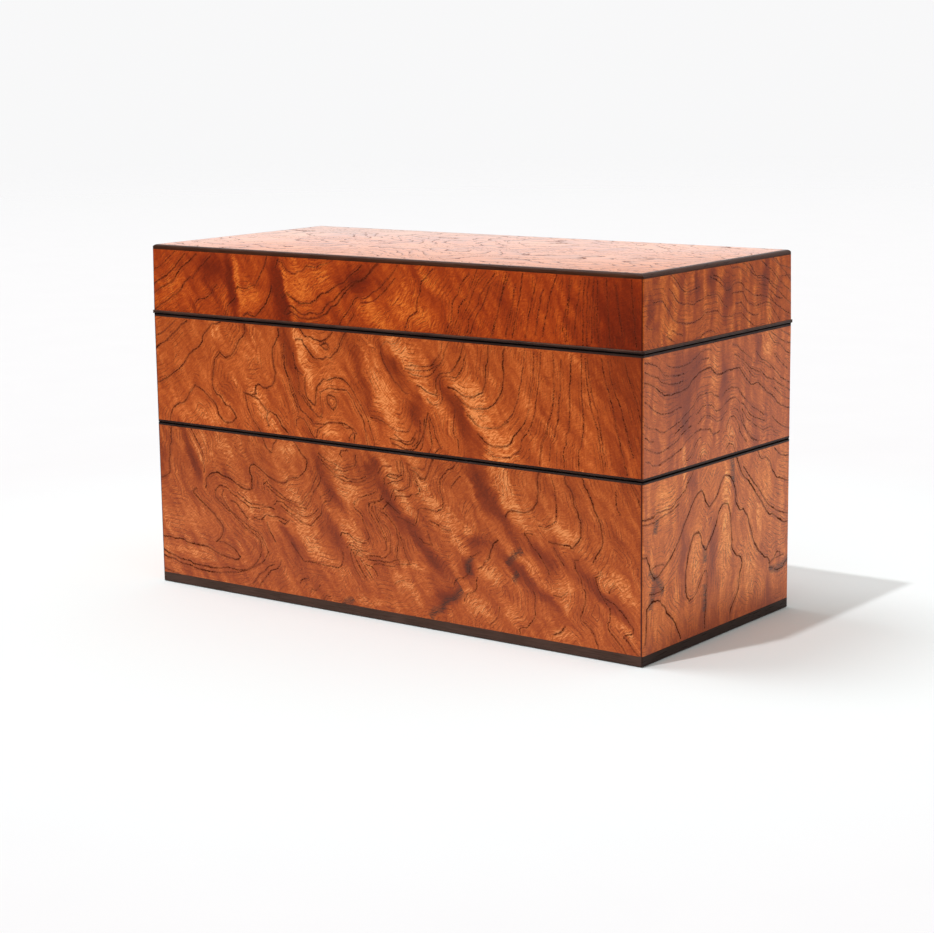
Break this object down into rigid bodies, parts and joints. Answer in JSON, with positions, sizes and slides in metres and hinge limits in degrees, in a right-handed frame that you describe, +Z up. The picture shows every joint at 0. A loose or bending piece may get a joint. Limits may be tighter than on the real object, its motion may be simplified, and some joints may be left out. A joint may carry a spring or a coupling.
{
  "type": "stacking box",
  "caption": "Tiered stacking box with a lift-off lid and a lift-off upper tray, in figured lacquered wood edged with dark wood strips.",
  "frame": {"origin": "middle of the box's footprint, on the surface that it stands on", "axes": "+Z up; +X along the long front face, towards the right end as seen from the front; the front face looks towards -Y"},
  "size_m": [0.3044, 0.1374, 0.18],
  "materials": {
    "figured_wood": "gloss",
    "dark_edging": "satin",
    "inner_wood": "satin"
  },
  "bodies": {
    "lower_tier": {"lower_front_board": "figured_wood", "lower_right_board": "figured_wood", "lower_back_board": "figured_wood", "lower_left_board": "figured_wood", "lower_bottom_panel": "inner_wood", "lower_corner_splines": "inner_wood", "lower_front_base_rail": "dark_edging", "lower_right_base_rail": "dark_edging", "lower_back_base_rail": "dark_edging", "lower_left_base_rail": "dark_edging", "lower_front_top_edging": "dark_edging", "lower_right_top_edging": "dark_edging", "lower_back_top_edging": "dark_edging", "lower_left_top_edging": "dark_edging", "lower_front_lip": "inner_wood", "lower_right_lip": "inner_wood", "lower_back_lip": "inner_wood", "lower_left_lip": "inner_wood"},
    "upper_tier": {"upper_front_board": "figured_wood", "upper_right_board": "figured_wood", "upper_back_board": "figured_wood", "upper_left_board": "figured_wood", "upper_bottom_panel": "inner_wood", "upper_corner_splines": "inner_wood", "upper_front_bottom_edging": "dark_edging", "upper_right_bottom_edging": "dark_edging", "upper_back_bottom_edging": "dark_edging", "upper_left_bottom_edging": "dark_edging", "upper_front_top_edging": "dark_edging", "upper_right_top_edging": "dark_edging", "upper_back_top_edging": "dark_edging", "upper_left_top_edging": "dark_edging", "upper_front_lip": "inner_wood", "upper_right_lip": "inner_wood", "upper_back_lip": "inner_wood", "upper_left_lip": "inner_wood"},
    "lid": {"lid_front_board": "figured_wood", "lid_right_board": "figured_wood", "lid_back_board": "figured_wood", "lid_left_board": "figured_wood", "lid_top_panel": "figured_wood", "lid_corner_splines": "inner_wood", "lid_front_rim_edging": "dark_edging", "lid_right_rim_edging": "dark_edging", "lid_back_rim_edging": "dark_edging", "lid_left_rim_edging": "dark_edging", "lid_front_top_edging": "dark_edging", "lid_right_top_edging": "dark_edging", "lid_back_top_edging": "dark_edging", "lid_left_top_edging": "dark_edging"}
  },
  "joints": [
    {"name": "upper_tier_lift", "type": "slide", "parent": "lower_tier", "child": "upper_tier", "axis": [0, 0, 1], "range_m": [0, 0.1]},
    {"name": "lid_lift", "type": "slide", "parent": "upper_tier", "child": "lid", "axis": [0, 0, 1], "range_m": [0, 0.08]}
  ]
}
